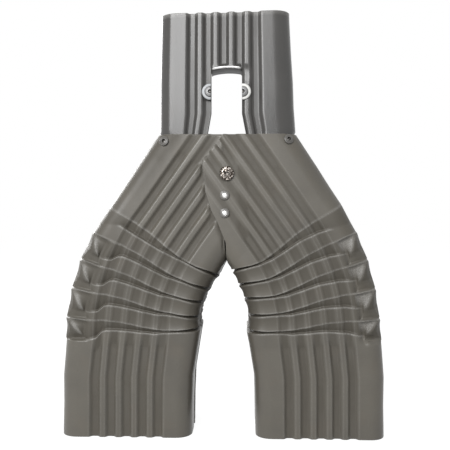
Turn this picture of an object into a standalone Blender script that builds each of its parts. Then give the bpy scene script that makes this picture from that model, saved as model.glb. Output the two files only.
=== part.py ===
"""Y-shaped rainwater diverter for rectangular corrugated downpipe.

One inlet tube drops into two pleated elbows. The elbows are one stamped shape, the
right one turned round, cut upright on the centre line and lapped over each other there.
Screws and blind rivets hold it together. The front faces -Y, and the two outlets stand
on Z = 0.
"""
import math

import bmesh
import bpy
from mathutils import Matrix, Vector

MM = 0.001

# Painted aluminium sheet, and the space left between pieces that touch
SHEET = 0.5 * MM
SEAT_GAP = 0.3 * MM

# Corrugated pipe, outside sizes
ELBOW_WIDTH = 82.5 * MM
ELBOW_DEPTH = 61.0 * MM
INLET_WIDTH = 82.2 * MM
INLET_DEPTH = 56.0 * MM
CORNER_RADIUS = 10.0 * MM
CORNER_STEPS = 3
GROOVE_COUNT = 5
SIDE_GROOVE_COUNT = 2
GROOVE_PITCH = 10.0 * MM
GROOVE_CREST = 2.5 * MM
GROOVE_FLOOR = 2.5 * MM
GROOVE_DEPTH = 2.0 * MM

# Heights
ELBOW_TOP = 193.5 * MM
INLET_RISE = 77.7 * MM
INLET_TOP = ELBOW_TOP + INLET_RISE
INLET_OVERLAP = 10.0 * MM
INLET_SHOULDER = 2.5 * MM
RIM_BAND = 3.0 * MM

# The left leg spreads further than the right one: all moves over to centre the footprint
CENTRE_SHIFT = 1.0 * MM

# Elbow bend: a fan of pleats about one pivot, beside the leg it serves
UPPER_SLOPE = math.radians(35.5)
BEND_RADIUS = 115.0 * MM
LEG_CENTRE = 59.0 * MM
AXIS_AT_TOP = 7.12 * MM
PIVOT_X = BEND_RADIUS - LEG_CENTRE
UPPER_DROP = (AXIS_AT_TOP - PIVOT_X + BEND_RADIUS * math.cos(UPPER_SLOPE)) / math.tan(UPPER_SLOPE)
PIVOT_Z = ELBOW_TOP - UPPER_DROP - BEND_RADIUS * math.sin(UPPER_SLOPE)
PLEATS = 5
PLEAT_STEP = 7.1
FIRST_PLEAT = 32.6

# Pleats: a fold dips behind the crest of the next ring, deepest on the inner side
CREST_RISE = 0.7 * MM
FOLD_RISE = 0.3 * MM
VALLEY_DIP = 1.9 * MM
VALLEY_TURN = 0.6
PLEAT_START = 14.0 * MM
PLEAT_FULL = 20.5 * MM
CORNER_DENT = 1.8 * MM

# Leg: the straight outlet, which eases outwards below the last pleat
LEG_EASE = 3.1 * MM
LEG_NECK_EASE = 1.1 * MM
LEG_NECK_DROP = 9.0 * MM
LEG_STRAIGHT_TOP = 38.0 * MM
LEG_MIDDLE = 20.0 * MM

# Lap of the right elbow over the left one
LAP_RISE = 0.3 * MM
LAP_RECESS = 1.6 * MM
MITRE_LEAN = 0.018
LAP_UNDER = 7.0 * MM
LAP_MARGIN = 0.12 * MM
LAP_FAR = 20.0 * MM
LAP_FOOT_ACROSS = 27.5 * MM
PAD_REACH = 8.5 * MM
PAD_EASE = 6.5 * MM
PAD_TOP = ELBOW_TOP - 12.5 * MM
PAD_SOFT = 7.0 * MM

# Window in the inlet tube, front and back, and its folded tongue
WINDOW_CENTRE = 1.9 * MM
WINDOW_WIDTH = 19.8 * MM
WINDOW_TOP = ELBOW_TOP + 43.1 * MM
BACK_WINDOW_WIDTH = 30.0 * MM
BACK_WINDOW_TOP = ELBOW_TOP + 54.5 * MM
FLARE_TOP = ELBOW_TOP + 13.5 * MM
WINDOW_FLARE_LEFT = 2.4 * MM
WINDOW_FLARE_RIGHT = 2.6 * MM
TONGUE_LENGTH = 14.0 * MM
TONGUE_BEND = 1.6 * MM

# Fasteners
RIVET_FLANGE_RADIUS = 3.15 * MM
RIVET_FLANGE_HEIGHT = 1.1 * MM
RIVET_SHANK_RADIUS = 1.6 * MM
RIVET_BORE_RADIUS = 1.0 * MM
RIVET_TAIL_RADIUS = 2.4 * MM
RIVET_TAIL_LENGTH = 3.0 * MM
RIVET_SIDES = 14
STEM_RADIUS = 0.7 * MM
STEM_HEAD_RADIUS = 1.5 * MM
LAP_RIVET_X = 0.8 * MM
LAP_RIVET_HEIGHTS = (ELBOW_TOP - 38.9 * MM, ELBOW_TOP - 50.2 * MM)
SHOULDER_LEFT = (3.3 * MM - INLET_WIDTH / 2, ELBOW_TOP - 4.5 * MM)
SHOULDER_RIGHT = (INLET_WIDTH / 2 + 0.2 * MM, ELBOW_TOP - 3.6 * MM)
WASHER_RADIUS = 5.2 * MM
WASHER_BORE = 2.0 * MM
WASHER_THICKNESS = 0.8 * MM
WINDOW_RIVET_HEIGHT = WINDOW_TOP - 15.9 * MM
WINDOW_RIVET_OFFSET = 0.6 * MM
WINDOW_TRIM = 0.15 * MM
SCREW_X = 2.2 * MM
SCREW_HEIGHT = ELBOW_TOP - 25.1 * MM
SCREW_HEAD_RADIUS = 4.6 * MM
SCREW_HEAD_HEIGHT = 2.9 * MM
SCREW_SHANK_RADIUS = 2.1 * MM
SCREW_LENGTH = 12.5 * MM
SCREW_SIDES = 20
RECESS_WIDTH = 1.1 * MM
RECESS_SPAN = 4.8 * MM
RECESS_DEPTH = 1.6 * MM

# Finishes: colour, roughness and metallic value
PAINT = ((0.135, 0.125, 0.112, 1.0), 0.38, 0.0)
BRIGHT = ((0.72, 0.72, 0.70, 1.0), 0.3, 1.0)
PLATED = ((0.60, 0.58, 0.55, 1.0), 0.18, 1.0)
STEEL = ((0.32, 0.31, 0.30, 1.0), 0.4, 1.0)


def clamp(value, low=0.0, high=1.0):
    return max(low, min(high, value))


def smooth(value):
    """Ease from 0 to 1 with level ends."""
    t = clamp(value)
    return t * t * (3.0 - 2.0 * t)


def along(knots, value):
    """Read a polyline of (place, height) knots at a place."""
    if value <= knots[0][0]:
        return knots[0][1]
    for (x0, y0), (x1, y1) in zip(knots, knots[1:]):
        if value <= x1:
            return y0 + (y1 - y0) * (value - x0) / (x1 - x0)
    return knots[-1][1]


def material(name, finish):
    colour, roughness, metallic = finish
    made = bpy.data.materials.new(name)
    made.use_nodes = True
    shader = made.node_tree.nodes["Principled BSDF"]
    shader.inputs["Base Color"].default_value = colour
    shader.inputs["Roughness"].default_value = roughness
    shader.inputs["Metallic"].default_value = metallic
    made.diffuse_color = colour
    return made


def add_object(name, bm, finish):
    mesh = bpy.data.meshes.new(name)
    bm.to_mesh(mesh)
    bm.free()
    if finish:
        mesh.materials.append(material(name, finish))
    made = bpy.data.objects.new(name, mesh)
    bpy.context.collection.objects.link(made)
    return made


class SectionPoint:
    """A point of the pipe's outline: across the bend, through it, and its outward normal."""

    def __init__(self, across, through, normal_angle, dip):
        self.across = across
        self.through = through
        self.out_across = math.cos(normal_angle)
        self.out_through = math.sin(normal_angle)
        self.dip = dip

    def moved(self, height):
        """The point pushed out of the outline by a height."""
        return (self.across + self.out_across * height,
                self.through + self.out_through * height)


def face_stations(flat, grooves, stops):
    """Places along one face with their groove dip, from 0 on a crest to 1 on a floor."""
    wall = (GROOVE_PITCH - GROOVE_CREST - GROOVE_FLOOR) / 2
    knots = [(-flat / 2, 0.0)]
    for index in range(grooves):
        centre = (index - (grooves - 1) / 2) * GROOVE_PITCH
        half = GROOVE_FLOOR / 2
        knots += [(centre - half - wall, 0.0), (centre - half, 1.0),
                  (centre + half, 1.0), (centre + half + wall, 0.0)]
    knots.append((flat / 2, 0.0))
    places = {place: dip for place, dip in knots}
    for stop in stops:
        near = min(abs(stop - place) for place in places)
        if near > SEAT_GAP:
            places[stop] = along(knots, stop)
    return sorted(places.items())


def section(width, depth, front_stops=(), back_stops=()):
    """Closed outline, counter-clockwise seen from above, starting on the front face."""
    radius = CORNER_RADIUS
    points = []
    faces = (
        (width - 2 * radius, depth / 2, GROOVE_COUNT, front_stops),
        (depth - 2 * radius, width / 2, SIDE_GROOVE_COUNT, ()),
        (width - 2 * radius, depth / 2, GROOVE_COUNT, [-stop for stop in back_stops]),
        (depth - 2 * radius, width / 2, SIDE_GROOVE_COUNT, ()),
    )
    for index, (flat, reach, grooves, stops) in enumerate(faces):
        normal = (index - 1) * math.pi / 2
        out = Vector((math.cos(normal), math.sin(normal)))
        side = Vector((-out.y, out.x))
        for place, dip in face_stations(flat, grooves, stops):
            spot = out * reach + side * place
            points.append(SectionPoint(spot.x, spot.y, normal, dip))
        corner = out * (reach - radius) + side * flat / 2
        for step in range(1, CORNER_STEPS):
            angle = normal + step * math.pi / 2 / CORNER_STEPS
            spot = corner + Vector((math.cos(angle), math.sin(angle))) * radius
            points.append(SectionPoint(spot.x, spot.y, angle, 0.0))
    return points


# Elbow geometry, in the left elbow's place: across grows from the outer to the inner side


def bend_place(across, through, angle):
    """A point of the section plane that stands at an angle in the fan about the pivot."""
    reach = BEND_RADIUS - across
    return Vector((PIVOT_X - reach * math.cos(angle), through,
                   PIVOT_Z + reach * math.sin(angle)))


def upper_place(across, through, run):
    """A point of the sloping upper pipe, a run above the bend."""
    start = bend_place(across, through, UPPER_SLOPE)
    return start + Vector((math.sin(UPPER_SLOPE), 0.0, math.cos(UPPER_SLOPE))) * run


def run_to_height(across, height):
    return (height - upper_place(across, 0.0, 0.0).z) / math.cos(UPPER_SLOPE)


def run_to_mitre(across, aside, lean):
    """Run to the mitre, a plane that leans off the centre line below the top edge."""
    start = upper_place(across, 0.0, 0.0)
    x = aside + lean * (ELBOW_TOP - start.z)
    return (x - start.x) / (math.sin(UPPER_SLOPE) + lean * math.cos(UPPER_SLOPE))


def mitre_across():
    """Across value of the line that ends where the top edge meets the centre line."""
    at_axis = upper_place(0.0, 0.0, run_to_mitre(0.0, 0.0, 0.0)).z
    slope = upper_place(MM, 0.0, run_to_mitre(MM, 0.0, 0.0)).z - at_axis
    return (ELBOW_TOP - at_axis) / slope * MM


MITRE = mitre_across()
INNER = ELBOW_WIDTH / 2
CROTCH = upper_place(INNER, 0.0, run_to_mitre(INNER, 0.0, 0.0)).z

# Reach of the lap past the centre line, by height, from the crotch to the top edge
LAP_EDGE = (
    (CROTCH, 0.0),
    (126.0 * MM, 0.6 * MM),
    (136.0 * MM, 4.0 * MM),
    (143.0 * MM, 8.1 * MM),
    (157.0 * MM, 12.1 * MM),
    (170.0 * MM, 13.6 * MM),
    (177.0 * MM, 13.9 * MM),
    (ELBOW_TOP, 0.0),
)


def lap_edge_run(across, shape):
    """Run at which a line of an elbow crosses the lap's edge, on the left of the mitre."""
    over = shape.lean < 0.0
    low = 0.0
    high = run_to_mitre(across, LAP_FAR if over else 0.0, shape.lean)
    for _ in range(40):
        middle = (low + high) / 2
        spot = upper_place(across, 0.0, middle)
        aside = spot.x - shape.lean * (ELBOW_TOP - spot.z)
        inside = along(LAP_EDGE, spot.z)
        crossed = aside > inside if over else aside > -inside
        if crossed:
            high = middle
        else:
            low = middle
    return (low + high) / 2


# Fold and crest lines of a pleat: the turn in degrees from its own plane, by the share of
# the way from the middle of the face to its outer side (-1) or inner side (1)
FOLD_LINE = ((-0.92, 0.1), (-0.45, 0.3), (-0.14, 0.1), (0.24, -1.1), (0.5, -1.7), (0.7, -1.0),
             (1.0, 1.4))
HOOKED_CREST = ((-0.65, -5.1), (-0.53, -4.6), (-0.45, -2.9), (-0.38, -2.4), (-0.14, -2.4),
                (0.36, -3.1), (0.56, -2.6), (0.7, -1.9), (1.0, -0.6))
FIRST_CREST = ((-0.95, -4.8), (-0.65, -2.5), (0.05, -2.8), (0.36, -2.4), (0.7, -1.7), (1.0, -0.6))
PLAIN_CREST = ((-0.9, -4.6), (-0.46, -2.9), (-0.14, -2.4), (0.36, -3.1), (0.56, -2.6),
               (0.7, -1.9), (1.0, -0.6))


class ElbowShape:
    """What sets one elbow apart: its hand and how far crimping pushed its sides about."""

    def __init__(self, lean, inner_turn, outer_push, bow, tuck):
        self.lean = lean
        self.inner_turn = inner_turn
        self.outer_push = outer_push
        self.bow = bow
        self.tuck = tuck

    def pushed(self, across, place):
        """Across value after the push on its side, by the height of its place."""
        share = across / (ELBOW_WIDTH / 2)
        height = place.z / MM
        if share < 0.0:
            return across - along(self.outer_push, height) * MM * share * share
        tucked = along(self.tuck, height) * smooth(place.y / (ELBOW_DEPTH / 2))
        return across + (along(INNER_PUSH, height) - tucked) * MM * share * share

    def bowed(self, point, place):
        """Outward bow of the narrow inner wall at a point of it."""
        wall = clamp((point.out_across - 0.4) / 0.5)
        level = 1.0 - (point.through / (ELBOW_DEPTH / 2)) ** 2
        return along(self.bow, place.z / MM) * MM * wall * level


# How far hand crimping moved each elbow's sides, in mm by height in mm
INNER_PUSH = ((3.0, 0.3), (20.0, 0.5), (38.0, 1.1), (48.0, 1.7), (62.0, 2.5), (66.0, 2.2),
              (72.0, 0.4), (84.0, 0.0))
LEFT_SHAPE = ElbowShape(
    MITRE_LEAN, (-0.3, -1.4, -1.6, -2.0, -1.0),
    ((3.0, 1.7), (31.0, 1.1), (47.0, 2.0), (62.0, 2.8), (79.0, 2.4), (95.0, 1.7), (118.0, 0.6),
     (126.0, -0.3), (134.0, -0.4), (141.0, -1.4), (149.0, -1.9), (172.0, -1.2), (193.0, -0.7)),
    ((72.0, 0.0), (80.0, 0.3), (88.0, 1.4), (96.0, 2.0), (104.0, 3.0), (112.0, 1.8), (125.0, 1.4)),
    ((26.0, 2.7), (50.0, 1.6), (66.0, 1.6), (80.0, 0.0)))
RIGHT_SHAPE = ElbowShape(
    -MITRE_LEAN, (1.2, 0.6, 0.3, -1.0, -1.8),
    ((3.0, -0.4), (31.0, -0.8), (47.0, 0.3), (62.0, 1.0), (76.0, 0.0), (141.0, -0.1),
     (149.0, 0.3), (157.0, 0.7), (173.0, 1.9), (193.0, 2.9)),
    ((98.0, 0.0), (108.0, -2.2), (125.0, -2.2)),
    ((26.0, 0.0), (80.0, 0.0)))


def pleat_strength(across):
    """How much of a pleat's height is there: none on the outer side, all on the inner."""
    from_outer = across + ELBOW_WIDTH / 2
    return smooth((from_outer - PLEAT_START) / (PLEAT_FULL - PLEAT_START))


def groove_share(across, pleated):
    """Share of the groove depth that is left among the pleats."""
    outer_groove = smooth((-14.0 * MM - across) / (4.0 * MM))
    return pleated + (0.75 - pleated) * outer_groove


def crest_turn(index, share, through):
    """Turn of a crest line: hooked at its outer end on one wide face, plain on the other."""
    hooked = HOOKED_CREST if index else FIRST_CREST
    plain = smooth(0.5 + through / ELBOW_DEPTH)
    return along(hooked, share) * (1.0 - plain) + along(PLAIN_CREST, share) * plain


def pleat_ring(points, index, kind, shape):
    """One ring of a pleat: its fold edge, the valley behind the crest, or the crest."""
    plane = FIRST_PLEAT - index * PLEAT_STEP
    ring = []
    for point in points:
        share = point.across / (ELBOW_WIDTH / 2)
        inner = shape.inner_turn[index] * smooth((share - 0.5) / 0.5)
        strength = pleat_strength(point.across)
        corner = abs(point.out_across * point.out_through) * 2.0
        dent = CORNER_DENT * corner * (1.0 - strength)
        if kind == "fold":
            turn = along(FOLD_LINE, share)
            height = FOLD_RISE
            grooves = groove_share(point.across, 0.35 if index else 0.9)
        elif kind == "valley":
            turn = crest_turn(index, share, point.through) + VALLEY_TURN
            height = -VALLEY_DIP * strength - dent
            grooves = groove_share(point.across, 0.1)
        else:
            turn = crest_turn(index, share, point.through)
            height = CREST_RISE * strength - dent
            grooves = groove_share(point.across, 0.3)
        angle = math.radians(plane + turn + inner)
        height -= point.dip * GROOVE_DEPTH * grooves
        place = bend_place(point.across, point.through, angle)
        height += shape.bowed(point, place)
        across, through = point.moved(height)
        ring.append(bend_place(shape.pushed(across, place), through, angle))
    return ring


def leg_ring(points, last_crest, height, ease, grooves, shape):
    """A ring of the outlet leg, below the last crest."""
    ring = []
    for point, crest in zip(points, last_crest):
        across, through = point.moved(-point.dip * GROOVE_DEPTH * grooves)
        z = crest.z - LEG_NECK_DROP if height is None else height
        place = Vector((0.0, through, z))
        place.x = PIVOT_X - BEND_RADIUS + shape.pushed(across, place) - ease
        ring.append(place)
    return ring


def upper_ring(points, run_at, rise_at, groove_at, shape):
    """A ring of the sloping upper pipe, each value given by the point."""
    ring = []
    for point in points:
        height = rise_at(point) - point.dip * GROOVE_DEPTH * groove_at(point)
        place = upper_place(point.across, point.through, run_at(point))
        height += shape.bowed(point, place)
        across, through = point.moved(height)
        ring.append(upper_place(shape.pushed(across, place), through, run_at(point)))
    return ring


def end_run(point, overhang, shape):
    """Run to the top edge, or to the mitre and the given overhang past it."""
    if point.across <= MITRE:
        at_top = Vector((0.0, 0.0, ELBOW_TOP))
        return run_to_height(shape.pushed(point.across, at_top), ELBOW_TOP)
    return run_to_mitre(point.across, overhang, shape.lean)


def on_wide_face(point):
    return abs(point.out_through) > 0.99


def pad_share(point, run):
    """1 where a line runs through the flattened pad round the fasteners."""
    spot = upper_place(point.across, 0.0, run)
    return smooth((PAD_TOP - spot.z) / PAD_SOFT)


def under_lap_overhang(point):
    """How far the left elbow's sheet runs on under the lap."""
    if not on_wide_face(point):
        return -SEAT_GAP
    start = smooth((point.across - 8.0 * MM) / (4.0 * MM))
    end = smooth((INNER - 10.0 * MM - point.across) / (7.5 * MM))
    return -SEAT_GAP + (LAP_UNDER + SEAT_GAP) * start * end


def left_upper_rings(points):
    """Upper pipe of the left elbow, recessed where the lap covers it."""
    shape = LEFT_SHAPE

    def covered(point):
        faces_lap = clamp((abs(point.out_through) - 0.7) / 0.3)
        return smooth((point.across - MITRE + 4.5 * MM) / (3.0 * MM)) * faces_lap

    def end(point):
        return end_run(point, under_lap_overhang(point), shape)

    def inside(point):
        edge = lap_edge_run(max(point.across, MITRE), shape)
        return min(edge - LAP_MARGIN, end(point) * 0.93)

    def outside(point):
        run = inside(point)
        if run > 9.0 * MM:
            return min(run - 3.0 * MM, end(point) * 0.86)
        return run * 0.6

    def recess(point):
        return -LAP_RECESS * covered(point)

    def grooves_in(point):
        return (1.0 - covered(point)) * 0.75

    return [
        upper_ring(points, end, recess, grooves_in, shape),
        upper_ring(points, inside, recess, grooves_in, shape),
        upper_ring(points, outside, lambda point: 0.0, lambda point: 1.0, shape),
    ]


def right_upper_rings(points):
    """Upper pipe of the right elbow, raised into the lap and flattened into the pad."""
    shape = RIGHT_SHAPE

    def lapped(point):
        return 1.0 if on_wide_face(point) and point.across > MITRE else 0.0

    def end(point):
        if point.across <= MITRE or not on_wide_face(point):
            return end_run(point, -SEAT_GAP, shape)
        return lap_edge_run(point.across, shape)

    def before(point, reach, share):
        limit = end_run(point, -SEAT_GAP, shape)
        return limit - min(reach / math.sin(UPPER_SLOPE), limit * share)

    def rise(point):
        return LAP_RISE * lapped(point)

    def grooves_at(run_of):
        def grooves_in(point):
            depth = 0.5 if lapped(point) else 0.75
            flat = pad_share(point, run_of(point)) * lapped(point)
            return depth + (0.1 - depth) * flat
        return grooves_in

    def at_centre(point):
        return before(point, 0.8 * MM, 0.1)

    def in_pad(point):
        return before(point, PAD_REACH, 0.4)

    def past_pad(point):
        return before(point, PAD_REACH + PAD_EASE, 0.7)

    return [
        upper_ring(points, end, rise, grooves_at(end), shape),
        upper_ring(points, at_centre, rise, grooves_at(at_centre), shape),
        upper_ring(points, in_pad, lambda point: 0.0, grooves_at(in_pad), shape),
        upper_ring(points, past_pad, lambda point: 0.0, lambda point: 1.0, shape),
    ]


def loft(bm, rings):
    """Skin rings with quads; the rings run counter-clockwise and follow each other down."""
    rows = [[bm.verts.new(spot) for spot in ring] for ring in rings]
    for upper, lower in zip(rows, rows[1:]):
        count = len(upper)
        for index in range(count):
            after = (index + 1) % count
            bm.faces.new((upper[index], lower[index], lower[after], upper[after]))
    return rows


def sheet_body(name, bm):
    """Give a skin the sheet's thickness, inwards."""
    made = add_object(name, bm, PAINT)
    solid = made.modifiers.new("sheet", "SOLIDIFY")
    solid.thickness = SHEET
    solid.offset = -1.0
    solid.use_even_offset = True
    solid.use_quality_normals = True
    return made


def drill(target, cutters):
    for cutter in cutters:
        cut = target.modifiers.new("hole", "BOOLEAN")
        cut.operation = "DIFFERENCE"
        cut.solver = "EXACT"
        cut.object = cutter


def make_elbow(name, upper_rings, shape):
    stops = (MITRE, LAP_FOOT_ACROSS)
    points = section(ELBOW_WIDTH, ELBOW_DEPTH, stops, stops)
    rings = upper_rings(points)
    for index in range(PLEATS):
        for kind in ("fold", "valley", "crest"):
            rings.append(pleat_ring(points, index, kind, shape))
    last_crest = rings[-1]
    rings.append(leg_ring(points, last_crest, None, LEG_NECK_EASE, 1.0, shape))
    rings.append(leg_ring(points, last_crest, LEG_STRAIGHT_TOP, LEG_EASE, 1.0, shape))
    rings.append(leg_ring(points, last_crest, LEG_MIDDLE, LEG_EASE, 1.0, shape))
    rings.append(leg_ring(points, last_crest, RIM_BAND, LEG_EASE, 1.0, shape))
    rings.append(leg_ring(points, last_crest, 0.0, LEG_EASE, 1.0, shape))
    if shape is RIGHT_SHAPE:
        rings = [[Vector((-spot.x, -spot.y, spot.z)) for spot in ring] for ring in rings]
    bm = bmesh.new()
    loft(bm, rings)
    return sheet_body(name, bm)


# The tube's two halves are bent apart below the window: how far each side has moved, in mm,
# by height in mm
INLET_LEFT_PUSH = ((183.0, 0.7), (193.5, 0.7), (196.0, 1.1), (227.0, 1.0), (246.0, 0.6), (268.0, 0.1))
INLET_RIGHT_PUSH = ((183.0, 4.6), (193.5, 4.6), (196.0, 5.6), (204.0, 5.1), (212.0, 4.5),
                    (228.0, 4.0), (246.0, 2.8), (268.0, 1.6))


def inlet_spot(point, height):
    """A point of the inlet tube at a height, with its half moved out to the elbow."""
    across, through = point.moved(-point.dip * GROOVE_DEPTH)
    side = 1.0 if across > WINDOW_CENTRE else -1.0
    push = INLET_RIGHT_PUSH if side > 0.0 else INLET_LEFT_PUSH
    flare = WINDOW_FLARE_RIGHT if side > 0.0 else WINDOW_FLARE_LEFT
    opened = clamp((FLARE_TOP - height) / (FLARE_TOP - ELBOW_TOP))
    from_edge = abs(across - WINDOW_CENTRE) - WINDOW_WIDTH / 2
    share = smooth(from_edge / (INLET_WIDTH / 2 - WINDOW_WIDTH / 2))
    at_edge = flare * opened if from_edge > -MM else 0.0
    at_side = along(push, height / MM) * MM
    return Vector((across + side * (at_edge * (1.0 - share) + at_side * share), through, height))


def make_inlet():
    """Inlet tube with its two windows, as one skin with the folded tongue."""
    foot = ELBOW_TOP - INLET_OVERLAP
    edges = [WINDOW_CENTRE - WINDOW_WIDTH / 2, WINDOW_CENTRE + WINDOW_WIDTH / 2]
    back_edges = [WINDOW_CENTRE - BACK_WINDOW_WIDTH / 2, WINDOW_CENTRE + BACK_WINDOW_WIDTH / 2]
    points = section(INLET_WIDTH, INLET_DEPTH, edges, back_edges)

    def in_window(index, face_sign, width):
        first, second = points[index], points[(index + 1) % len(points)]
        if first.out_through * face_sign < 0.99 or second.out_through * face_sign < 0.99:
            return False
        middle = (first.across + second.across) / 2 - WINDOW_CENTRE
        return abs(middle) < width / 2

    heights = [INLET_TOP, INLET_TOP - RIM_BAND, BACK_WINDOW_TOP, WINDOW_TOP, FLARE_TOP,
               ELBOW_TOP + INLET_SHOULDER, ELBOW_TOP, foot]
    bm = bmesh.new()
    rows = [[bm.verts.new(inlet_spot(point, height)) for point in points] for height in heights]
    count = len(points)
    for upper, lower, top in zip(rows, rows[1:], heights):
        for index in range(count):
            after = (index + 1) % count
            if top <= WINDOW_TOP and in_window(index, -1.0, WINDOW_WIDTH):
                continue
            if top <= BACK_WINDOW_TOP and in_window(index, 1.0, BACK_WINDOW_WIDTH):
                continue
            bm.faces.new((upper[index], lower[index], lower[after], upper[after]))

    columns = [index for index in range(count) if in_window(index, -1.0, WINDOW_WIDTH)]
    chain = columns + [columns[-1] + 1]
    previous = [rows[heights.index(WINDOW_TOP)][index] for index in chain]
    for turn in (30, 60, 90):
        angle = math.radians(turn)
        previous = tongue_row(bm, previous, chain, points, TONGUE_BEND * math.sin(angle),
                              TONGUE_BEND * (1.0 - math.cos(angle)), turn / 90)
    tongue_row(bm, previous, chain, points, TONGUE_BEND, TONGUE_LENGTH, 1.0)
    loose = [vert for vert in bm.verts if not vert.link_faces]
    bmesh.ops.delete(bm, geom=loose, context="VERTS")
    return sheet_body("inlet_tube", bm)


def tongue_row(bm, previous, chain, points, drop, inwards, flattened):
    """One more row of the tongue, with the grooves pressed flatter as it turns in."""
    row = []
    for index in chain:
        point = points[index]
        start = -INLET_DEPTH / 2 + point.dip * GROOVE_DEPTH * (1.0 - flattened)
        top = previous[chain.index(index)].co
        x = top.x
        row.append(bm.verts.new((x, start + inwards, WINDOW_TOP - drop)))
    for index in range(len(row) - 1):
        bm.faces.new((previous[index], row[index], row[index + 1], previous[index + 1]))
    return row


def turned(name, profile, sides, finish, place, axis, hollow=False):
    """Revolve (radius, height) points; height runs along the axis, out of the wall."""
    bm = bmesh.new()
    rings = []
    for radius, height in profile:
        if radius <= 0.0:
            rings.append([bm.verts.new((0.0, 0.0, height))])
            continue
        rings.append([
            bm.verts.new((radius * math.cos(math.tau * k / sides),
                          radius * math.sin(math.tau * k / sides), height))
            for k in range(sides)
        ])
    pairs = list(zip(rings, rings[1:]))
    if hollow:
        pairs.append((rings[-1], rings[0]))
    for lower, upper in pairs:
        for k in range(sides):
            after = (k + 1) % sides
            corners = [lower[k % len(lower)], lower[after % len(lower)],
                       upper[after % len(upper)], upper[k % len(upper)]]
            bm.faces.new(list(dict.fromkeys(corners)))
    bmesh.ops.recalc_face_normals(bm, faces=bm.faces)
    made = add_object(name, bm, finish)
    made.matrix_world = Matrix.Translation(place) @ axis.to_track_quat("Z", "Y").to_matrix().to_4x4()
    made.data.shade_smooth()
    return made


def cutter(name, radius, length, place, axis):
    """Round cutter for a clearance hole, centred on its place."""
    tool = turned(name, [(0.0, -length), (radius, -length), (radius, length), (0.0, length)],
                  RIVET_SIDES, None, place, axis)
    tool.hide_render = True
    tool.display_type = "WIRE"
    return tool


def rivet(name, place, axis, grip, finish, stem_finish, recess):
    """A set blind rivet, seated over its wall, and the broken stem left inside it."""
    flange = RIVET_FLANGE_RADIUS
    head = SEAT_GAP + RIVET_FLANGE_HEIGHT
    tail_top = -grip - SEAT_GAP
    tail_end = tail_top - RIVET_TAIL_LENGTH
    body = [
        (RIVET_BORE_RADIUS, tail_end),
        (RIVET_TAIL_RADIUS * 0.85, tail_end),
        (RIVET_TAIL_RADIUS, tail_top - RIVET_TAIL_LENGTH * 0.4),
        (RIVET_SHANK_RADIUS, tail_top),
        (RIVET_SHANK_RADIUS, SEAT_GAP),
        (flange, SEAT_GAP),
        (flange * 0.94, SEAT_GAP + RIVET_FLANGE_HEIGHT * 0.5),
        (RIVET_BORE_RADIUS * 1.35, head),
        (RIVET_BORE_RADIUS, head - 0.15 * MM),
    ]
    turned(name, body, RIVET_SIDES, finish, place, axis, hollow=True)
    head_top = tail_end - SEAT_GAP
    stem = [
        (0.0, head_top - STEM_HEAD_RADIUS * 1.5),
        (STEM_HEAD_RADIUS * 0.8, head_top - STEM_HEAD_RADIUS * 1.1),
        (STEM_HEAD_RADIUS, head_top),
        (STEM_RADIUS, head_top),
        (STEM_RADIUS, head - recess - 0.2 * MM),
        (0.0, head - recess),
    ]
    turned(name + "_stem", stem, RIVET_SIDES, stem_finish, place, axis)


def trim(name, place, side):
    """Cutter that trims a washer or rivet flush with the window's edge."""
    bm = bmesh.new()
    size = WASHER_RADIUS * 3
    bmesh.ops.create_cube(bm, size=size)
    tool = add_object(name, bm, None)
    edge = place + side * WINDOW_TRIM
    tool.location = (edge - side * size / 2, -INLET_DEPTH / 2, WINDOW_RIVET_HEIGHT)
    tool.hide_render = True
    tool.display_type = "WIRE"
    return tool


def make_screw(finish, seat):
    """Pan head screw with a cross recess, driven through both sheets of the lap."""
    radius = SCREW_HEAD_RADIUS
    height = SCREW_HEAD_HEIGHT
    profile = [
        (0.0, -SCREW_LENGTH),
        (SCREW_SHANK_RADIUS, -SCREW_LENGTH + 3.0 * MM),
        (SCREW_SHANK_RADIUS, SEAT_GAP),
        (radius, SEAT_GAP),
        (radius, SEAT_GAP + height * 0.35),
        (radius * 0.86, SEAT_GAP + height * 0.75),
        (radius * 0.55, SEAT_GAP + height * 0.96),
        (0.0, SEAT_GAP + height),
    ]
    front = Vector((0.0, -1.0, 0.0))
    screw = turned("centre_screw", profile, SCREW_SIDES, finish, seat, front)
    bm = bmesh.new()
    bmesh.ops.create_cube(bm, size=1.0)
    bmesh.ops.scale(bm, vec=(RECESS_SPAN, RECESS_WIDTH, RECESS_DEPTH * 2), verts=bm.verts)
    other = bmesh.ops.create_cube(bm, size=1.0)["verts"]
    bmesh.ops.scale(bm, vec=(RECESS_WIDTH, RECESS_SPAN, RECESS_DEPTH * 2), verts=other)
    tool = add_object("cut_recess", bm, None)
    tool.location = seat + front * (SEAT_GAP + height)
    tool.rotation_euler = (math.pi / 2, math.radians(28.0), 0.0)
    tool.hide_render = True
    tool.display_type = "WIRE"
    cut = screw.modifiers.new("recess", "BOOLEAN")
    cut.operation = "DIFFERENCE"
    cut.solver = "EXACT"
    cut.use_self = True
    cut.object = tool


def shoulder_seat(shape, spot, back):
    """Point and outward normal of the elbow's rounded corner, where a shoulder rivet sits."""
    aside, height = abs(spot[0]), spot[1]
    level = Vector((0.0, 0.0, height))
    facing = 1.0 if back else -1.0
    low, high = 0.0, math.pi / 2
    for _ in range(40):
        angle = (low + high) / 2
        across = -(INNER - CORNER_RADIUS) - CORNER_RADIUS * math.sin(angle)
        across = shape.pushed(across, level)
        place = upper_place(across, 0.0, run_to_height(across, height))
        if -place.x > aside:
            high = angle
        else:
            low = angle
    sink = CORNER_RADIUS * (1.0 - math.cos(angle))
    out = -math.sin(angle)
    side = 1.0 if spot[0] > 0.0 else -1.0
    normal = Vector((-side * out * math.cos(UPPER_SLOPE), facing * math.cos(angle),
                     -out * math.sin(UPPER_SLOPE)))
    return Vector((spot[0], facing * (ELBOW_DEPTH / 2 - sink), height)), normal


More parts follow.
